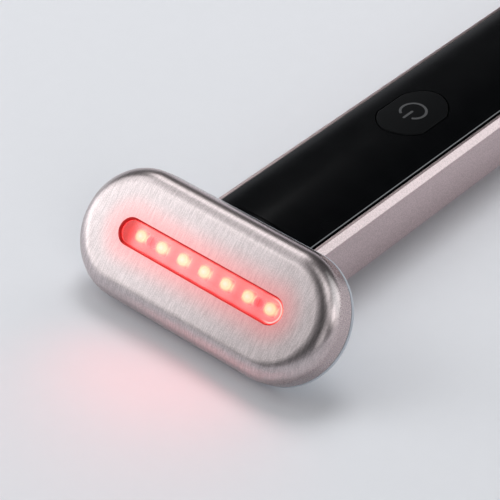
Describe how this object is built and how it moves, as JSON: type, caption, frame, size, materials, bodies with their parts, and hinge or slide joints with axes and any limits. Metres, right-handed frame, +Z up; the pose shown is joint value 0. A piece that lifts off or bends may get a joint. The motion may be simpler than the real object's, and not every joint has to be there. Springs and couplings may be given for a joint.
{
  "type": "light therapy wand",
  "caption": "Slim hand wand with a tilted pill-shaped head, a lit red window, a glossy front cover, a power button and a head that turns on the handle.",
  "frame": {"origin": "on the floor, under the middle of the wand as it lies on its underside", "axes": "+Y from the head to the tail, +Z up out of the black front cover, +X across the handle"},
  "size_m": [0.048, 0.15, 0.0177],
  "materials": {
    "brushed_rose_metal": "brushed",
    "satin_rose_metal": "satin",
    "pale_grey_plastic": "satin",
    "gloss_black_cover": "gloss",
    "satin_black_key": "satin",
    "clear_red_lens": "gloss",
    "lit_red_diode": "gloss",
    "black_rubber": "matte",
    "green_board": "satin",
    "white_board": "satin",
    "dark_plastic": "satin",
    "bright_steel": "satin",
    "brass_weight": "satin",
    "black_acetal": "satin",
    "silver_battery_wrap": "satin",
    "grey_foam": "matte",
    "white_lead_coat": "matte",
    "red_lead_coat": "matte",
    "black_lead_coat": "matte"
  },
  "bodies": {
    "handle": {"handle_housing": "satin_rose_metal", "front_panel": "gloss_black_cover", "front_cap": "gloss_black_cover", "tail_cap": "satin_rose_metal", "motor_saddle": "black_rubber", "main_board": "green_board", "swivel_block": "dark_plastic", "tact_switch": "dark_plastic", "usb_tongue": "dark_plastic", "block_screw_1": "bright_steel", "block_screw_2": "bright_steel", "main_board_screw_1": "bright_steel", "main_board_screw_2": "bright_steel", "wave_washer": "bright_steel", "usb_socket": "bright_steel", "vibration_motor": "bright_steel", "swivel_bushing": "black_acetal", "battery": "silver_battery_wrap", "battery_pad": "grey_foam", "swivel_lead": "white_lead_coat", "battery_lead_red": "red_lead_coat", "battery_lead_black": "black_lead_coat", "motor_lead": "black_lead_coat"},
    "head": {"head_shell": "brushed_rose_metal", "window_lens": "clear_red_lens", "lens_gasket": "black_rubber", "led_board": "white_board", "led_1": "lit_red_diode", "led_2": "lit_red_diode", "led_3": "lit_red_diode", "led_4": "lit_red_diode", "led_5": "lit_red_diode", "led_6": "lit_red_diode", "led_7": "lit_red_diode", "led_board_screw_1": "bright_steel", "led_board_screw_2": "bright_steel", "board_carrier": "dark_plastic", "back_cover": "pale_grey_plastic", "head_lead": "white_lead_coat", "swivel_shaft": "bright_steel", "stop_collar": "bright_steel", "retaining_clip": "bright_steel"},
    "button": {"power_button": "satin_black_key", "switch_stem": "satin_black_key"},
    "motor_rotor": {"motor_shaft": "bright_steel", "motor_weight": "brass_weight"}
  },
  "joints": [
    {"name": "head_swivel", "type": "hinge", "parent": "handle", "child": "head", "pos_m": [0, -0.0574, 0.00731], "axis": [0, 1, 0], "range_deg": [-90, 90]},
    {"name": "power_button_press", "type": "slide", "parent": "handle", "child": "button", "axis": [0, 0, -1], "range_m": [0, 0.0004], "stiffness_N_per_m": 600, "springref_m": -0.0005},
    {"name": "motor_spin", "type": "hinge", "parent": "handle", "child": "motor_rotor", "pos_m": [0, -0.0413, 0.00421], "axis": [0, 1, 0], "continuous": true}
  ]
}
